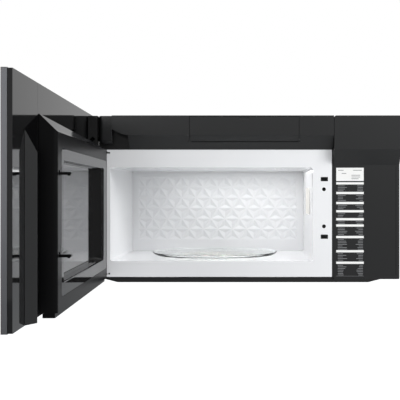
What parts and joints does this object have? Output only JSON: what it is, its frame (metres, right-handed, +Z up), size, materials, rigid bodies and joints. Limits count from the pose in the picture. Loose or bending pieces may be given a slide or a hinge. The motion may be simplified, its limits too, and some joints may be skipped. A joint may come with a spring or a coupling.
{
  "type": "over-the-range microwave oven",
  "caption": "Over-the-range microwave oven with a full-width door that swings open on the left, a glass turntable, a vent blower and latch hooks.",
  "frame": {"origin": "middle of the rear face, where the wall plate holds the oven", "axes": "+X to the right seen from the front, +Y into the wall, +Z up"},
  "size_m": [0.7899, 1.1306, 0.4396],
  "materials": {
    "case_steel": "satin dark grey",
    "door_skin_steel": "dark satin",
    "zinc_steel": "zinc plated",
    "black_paint": "matt black",
    "white_enamel": "cool white enamel",
    "black_moulding": "fine satin charcoal",
    "gloss_black": "gloss black",
    "tinted_glass": "smoked glass",
    "clear_glass": "clear with a faint green edge",
    "white_nylon": "natural nylon",
    "grey_nylon": "grey nylon",
    "charcoal": "charcoal pad in a thin frame",
    "board": "green circuit board",
    "mica": "pressed mica sheet",
    "aluminium": "brushed",
    "winding": "varnished copper and steel laminations"
  },
  "bodies": {
    "cabinet": {"outer_wrap": "case_steel", "rear_panel": "zinc_steel", "base_pan": "black_paint", "cavity_shell": "white_enamel", "cavity_back": "white_enamel", "front_frame": "white_enamel", "upper_front_plate": "black_paint", "band_end_block": "black_moulding", "vent_band": "black_moulding", "charcoal_filter": "charcoal", "right_fascia": "black_moulding", "upper_hinge_bracket": "zinc_steel", "lower_hinge_bracket": "zinc_steel", "latch_board": "white_nylon", "door_switch_upper": "grey_nylon", "door_switch_lower": "grey_nylon", "turntable_motor": "zinc_steel", "blower_housing_left": "zinc_steel", "blower_housing_right": "zinc_steel", "blower_motor": "zinc_steel", "exhaust_adapter": "zinc_steel", "cooling_fan_frame": "grey_nylon", "waveguide": "zinc_steel", "waveguide_cover": "mica", "magnetron": "zinc_steel", "transformer": "winding", "capacitor": "aluminium", "main_board": "board", "cavity_lamp": "clear_glass", "cord_inlet": "black_moulding", "grease_filter_left": "aluminium", "grease_filter_right": "aluminium", "lamp_housing": "black_paint"},
    "door": {"door_skin": "door_skin_steel", "door_glass": "tinted_glass", "touch_glass": "tinted_glass", "touch_board": "board", "door_inner_frame": "gloss_black", "door_end_cover": "gloss_black", "choke_box": "gloss_black", "inner_pane": "tinted_glass", "door_screen": "black_paint", "choke_frame": "zinc_steel", "handle_grip": "black_moulding", "latch_spring": "zinc_steel", "latch_guide": "grey_nylon"},
    "latch": {"latch_bar": "black_moulding"},
    "filter_flap": {"filter_cover": "black_moulding"},
    "turntable": {"turntable_coupler": "white_nylon", "glass_tray": "clear_glass"},
    "roller_support": {"roller_ring": "white_nylon"},
    "roller_a": {"roller_wheel_1": "white_nylon"},
    "roller_b": {"roller_wheel_2": "white_nylon"},
    "roller_c": {"roller_wheel_3": "white_nylon"},
    "blower_rotor": {"blower_shaft": "zinc_steel", "blower_wheel_left": "grey_nylon", "blower_wheel_right": "grey_nylon"},
    "damper": {"damper_flap": "zinc_steel"},
    "fan_rotor": {"cooling_fan": "grey_nylon"},
    "lamp_lens": {"lamp_cover": "clear_glass"}
  },
  "joints": [
    {"name": "door_hinge", "type": "hinge", "parent": "cabinet", "child": "door", "pos_m": [-0.368, -0.382, 0], "axis": [0, 0, 1], "range_deg": [-12.2, 87.8]},
    {"name": "latch_slide", "type": "slide", "parent": "door", "child": "latch", "axis": [0, 0, 1], "range_m": [0, 0.003], "stiffness_N_per_m": 700, "springref_m": -0.004, "deforming": ["latch_spring"]},
    {"name": "filter_cover_tilt", "type": "hinge", "parent": "cabinet", "child": "filter_flap", "pos_m": [-0.0133, -0.38927, 0.1442], "axis": [-1, 0, 0], "range_deg": [-35, 0]},
    {"name": "turntable_spin", "type": "hinge", "parent": "cabinet", "child": "turntable", "pos_m": [-0.0965, -0.1938, -0.16], "axis": [0, 0, 1], "continuous": true},
    {"name": "roller_ring_spin", "type": "hinge", "parent": "cabinet", "child": "roller_support", "pos_m": [-0.0965, -0.1938, -0.163], "axis": [0, 0, 1], "continuous": true},
    {"name": "roller_1_spin", "type": "hinge", "parent": "roller_support", "child": "roller_a", "pos_m": [0.0085, -0.1938, -0.1632], "axis": [1, 0, 0], "continuous": true},
    {"name": "roller_2_spin", "type": "hinge", "parent": "roller_support", "child": "roller_b", "pos_m": [-0.149, -0.10287, -0.1632], "axis": [-0.5, 0.866, 0], "continuous": true},
    {"name": "roller_3_spin", "type": "hinge", "parent": "roller_support", "child": "roller_c", "pos_m": [-0.149, -0.28473, -0.1632], "axis": [-0.5, -0.866, 0], "continuous": true},
    {"name": "blower_spin", "type": "hinge", "parent": "cabinet", "child": "blower_rotor", "pos_m": [0, -0.088, 0.142], "axis": [1, 0, 0], "continuous": true},
    {"name": "damper_swing", "type": "hinge", "parent": "cabinet", "child": "damper", "pos_m": [0, -0.042, 0.211], "axis": [1, 0, 0], "range_deg": [-70, 0]},
    {"name": "cooling_fan_spin", "type": "hinge", "parent": "cabinet", "child": "fan_rotor", "pos_m": [0.268, -0.02, 0.03], "axis": [0, 1, 0], "continuous": true},
    {"name": "lamp_cover_drop", "type": "hinge", "parent": "cabinet", "child": "lamp_lens", "pos_m": [-0.0965, -0.3196, -0.212], "axis": [1, 0, 0], "range_deg": [-80, 0]}
  ],
  "couplings": [
    {"joint": "roller_ring_spin", "follows": "turntable_spin", "ratio": 0.5},
    {"joint": "roller_1_spin", "follows": "turntable_spin", "ratio": -8.75},
    {"joint": "roller_2_spin", "follows": "turntable_spin", "ratio": -8.75},
    {"joint": "roller_3_spin", "follows": "turntable_spin", "ratio": -8.75}
  ]
}
